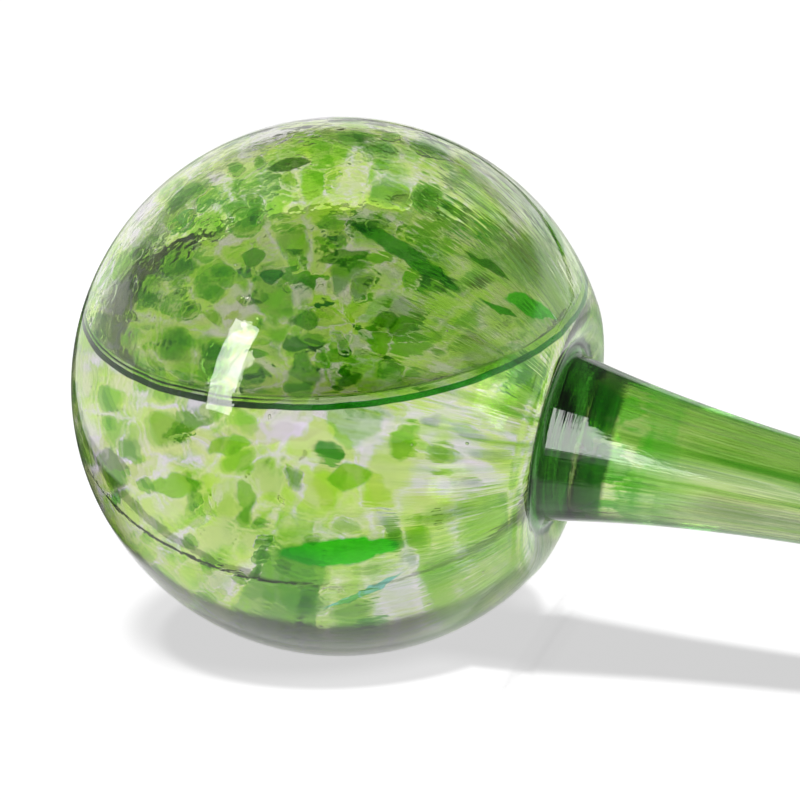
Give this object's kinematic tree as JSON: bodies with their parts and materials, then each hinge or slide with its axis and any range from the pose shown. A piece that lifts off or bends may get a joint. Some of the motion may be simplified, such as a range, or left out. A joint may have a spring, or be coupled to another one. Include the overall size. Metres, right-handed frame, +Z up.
{
  "type": "watering globe",
  "caption": "Hand-blown green glass watering globe: a round bulb with a long tapering hollow stem, part filled with water and lying on its side.",
  "frame": {"origin": "the point of the surface that it lies on, under the middle of its bounding box", "axes": "+X from the bulb towards the stem's mouth, with the stem falling 7.6 degrees below it; +Z up, square to the surface"},
  "size_m": [0.343, 0.09, 0.09],
  "materials": {
    "bulb_glass": "gloss",
    "neck_glass": "gloss",
    "stem_glass": "gloss",
    "water": "gloss"
  },
  "bodies": {
    "root": {"bulb": "bulb_glass", "neck": "neck_glass", "stem": "stem_glass", "water": "water"}
  },
  "joints": []
}
